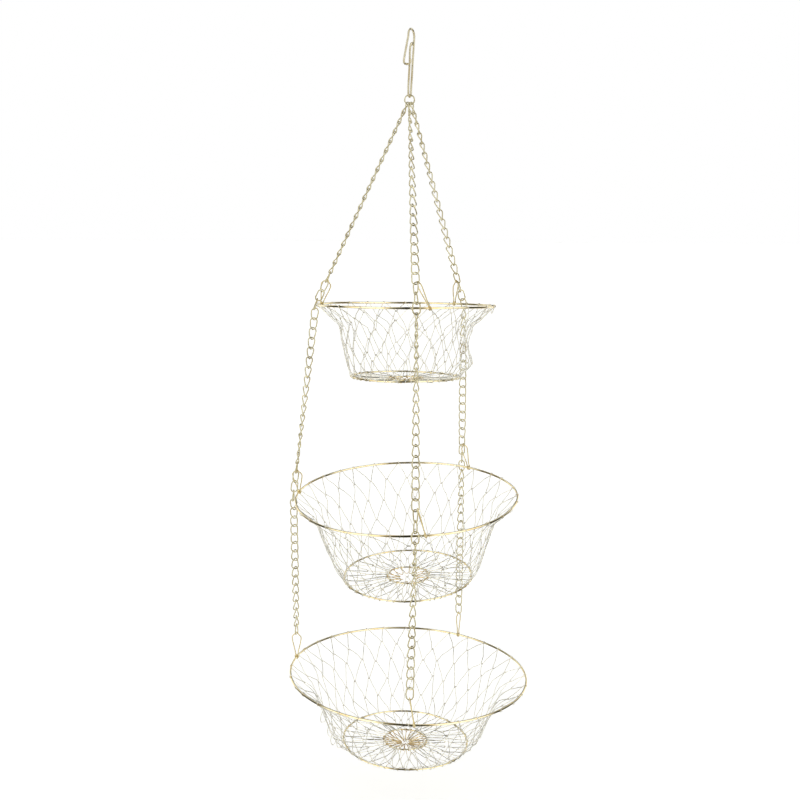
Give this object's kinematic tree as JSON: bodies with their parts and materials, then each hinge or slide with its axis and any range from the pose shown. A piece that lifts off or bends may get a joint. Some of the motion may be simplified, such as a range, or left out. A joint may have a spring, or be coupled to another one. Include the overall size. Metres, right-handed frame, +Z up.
{
  "type": "hanging wire basket",
  "caption": "Tiered hanging wire basket set: a snap hook and chains hold round diamond-net bowls by rim clips, and each bowl folds flat as its base lifts.",
  "frame": {"origin": "inside top of the hook's bend, where it rests on the ceiling hook", "axes": "+Z up along the hanging line, front of the baskets towards -Y, +X to the right seen from the front"},
  "size_m": [0.2776, 0.2815, 0.812],
  "materials": {
    "hook_wire": "polished brass-plated spring wire",
    "ring_wire": "polished brass-plated wire",
    "chain_wire": "bright brass-plated twisted links",
    "clip_wire": "polished brass-plated wire",
    "net_wire": "bright pale brass-plated fine wire"
  },
  "bodies": {
    "hook": {"ceiling_hook": "hook_wire"},
    "hook_gate": {"hook_gate": "hook_wire"},
    "jump_ring": {"jump_ring": "chain_wire"},
    "top_tier": {"left_chain_top": "chain_wire", "front_chain_top": "chain_wire", "back_chain_top": "chain_wire", "top_clip_left": "clip_wire", "top_clip_front": "clip_wire", "top_clip_back": "clip_wire", "top_rim": "ring_wire", "top_side_net": "net_wire"},
    "middle_tier": {"left_chain_middle_rim": "chain_wire", "front_chain_middle_rim": "chain_wire", "back_chain_middle_rim": "chain_wire", "middle_clip_left": "clip_wire", "middle_clip_front": "clip_wire", "middle_clip_back": "clip_wire", "middle_rim": "ring_wire", "middle_side_net": "net_wire"},
    "bottom_tier": {"bottom_clip_left": "clip_wire", "bottom_clip_front": "clip_wire", "bottom_clip_back": "clip_wire", "bottom_rim": "ring_wire", "bottom_side_net": "net_wire"},
    "left_middle_links": {"left_chain_middle": "chain_wire"},
    "left_bottom_links": {"left_chain_bottom": "chain_wire"},
    "front_middle_links": {"front_chain_middle": "chain_wire"},
    "front_bottom_links": {"front_chain_bottom": "chain_wire"},
    "back_middle_links": {"back_chain_middle": "chain_wire"},
    "back_bottom_links": {"back_chain_bottom": "chain_wire"},
    "top_base": {"top_base_ring": "ring_wire", "top_floor_net": "net_wire", "top_centre_ring": "ring_wire"},
    "middle_base": {"middle_base_ring": "ring_wire", "middle_floor_net": "net_wire", "middle_centre_ring": "ring_wire"},
    "bottom_base": {"bottom_base_ring": "ring_wire", "bottom_floor_net": "net_wire", "bottom_centre_ring": "ring_wire"}
  },
  "joints": [
    {"name": "gate_open", "type": "hinge", "parent": "hook", "child": "hook_gate", "pos_m": [-0.00325, -0.00698, -0.0072], "axis": [-0.9063, 0.4226, 0], "range_deg": [0, 25], "stiffness_Nm_per_rad": 0.05},
    {"name": "swing_front_back", "type": "hinge", "parent": "hook", "child": "jump_ring", "pos_m": [-0.00139, -0.00299, -0.0684], "axis": [1, 0, 0], "range_deg": [-30, 30]},
    {"name": "swing_side", "type": "hinge", "parent": "jump_ring", "child": "top_tier", "pos_m": [-0.00139, -0.00299, -0.0726], "axis": [0, 1, 0], "range_deg": [-30, 30]},
    {"name": "middle_twist", "type": "hinge", "parent": "top_tier", "child": "middle_tier", "pos_m": [-0.00219, -0.00299, -0.51], "axis": [0, 0, 1], "range_deg": [-2.5, 2.5], "stiffness_Nm_per_rad": 0.3},
    {"name": "left_middle_links_sway", "type": "hinge", "parent": "top_tier", "child": "left_middle_links", "pos_m": [-0.10522, 0.00755, -0.29862], "axis": [-0.9899, 0.0722, 0.1218], "range_deg": [-1.77, 1.77]},
    {"name": "front_middle_links_sway", "type": "hinge", "parent": "top_tier", "child": "front_middle_links", "pos_m": [0.00682, -0.10431, -0.29399], "axis": [0.0731, -0.9899, 0.1214], "range_deg": [-1.67, 1.67]},
    {"name": "back_middle_links_sway", "type": "hinge", "parent": "top_tier", "child": "back_middle_links", "pos_m": [0.06404, 0.07312, -0.30198], "axis": [0.5375, 0.8302, 0.1477], "range_deg": [-1.89, 1.89]},
    {"name": "bottom_twist", "type": "hinge", "parent": "middle_tier", "child": "bottom_tier", "pos_m": [0.0014, -0.00299, -0.721], "axis": [0, 0, 1], "range_deg": [-2.5, 2.5], "stiffness_Nm_per_rad": 0.15},
    {"name": "left_bottom_links_sway", "type": "hinge", "parent": "middle_tier", "child": "left_bottom_links", "pos_m": [-0.13166, 0.0067, -0.51794], "axis": [-0.9734, 0.2271, 0.0305], "range_deg": [-2.08, 2.08]},
    {"name": "front_bottom_links_sway", "type": "hinge", "parent": "middle_tier", "child": "front_bottom_links", "pos_m": [0.00698, -0.1323, -0.52587], "axis": [0.007, -0.9989, 0.0471], "range_deg": [-2.16, 2.16]},
    {"name": "back_bottom_links_sway", "type": "hinge", "parent": "middle_tier", "child": "back_bottom_links", "pos_m": [0.06631, 0.10704, -0.50476], "axis": [0.4681, 0.8823, 0.0494], "range_deg": [-1.89, 1.89]},
    {"name": "top_base_lift", "type": "slide", "parent": "top_tier", "child": "top_base", "axis": [0.0035, 0.0454, 0.999], "range_m": [0, 0.064], "deforming": ["top_side_net"]},
    {"name": "middle_base_lift", "type": "slide", "parent": "middle_tier", "child": "middle_base", "axis": [-0.0261, -0.0819, 0.9963], "range_m": [0, 0.078], "deforming": ["middle_side_net"]},
    {"name": "bottom_base_lift", "type": "slide", "parent": "bottom_tier", "child": "bottom_base", "axis": [0.0349, 0.007, 0.9994], "range_m": [0, 0.068], "deforming": ["bottom_side_net"]}
  ],
  "couplings": [
    {"joint": "left_middle_links_sway", "follows": "middle_twist", "ratio": 0.66898},
    {"joint": "front_middle_links_sway", "follows": "middle_twist", "ratio": 0.62647},
    {"joint": "back_middle_links_sway", "follows": "middle_twist", "ratio": 0.71797},
    {"joint": "left_bottom_links_sway", "follows": "bottom_twist", "ratio": 0.79117},
    {"joint": "front_bottom_links_sway", "follows": "bottom_twist", "ratio": 0.82385},
    {"joint": "back_bottom_links_sway", "follows": "bottom_twist", "ratio": 0.71709}
  ]
}
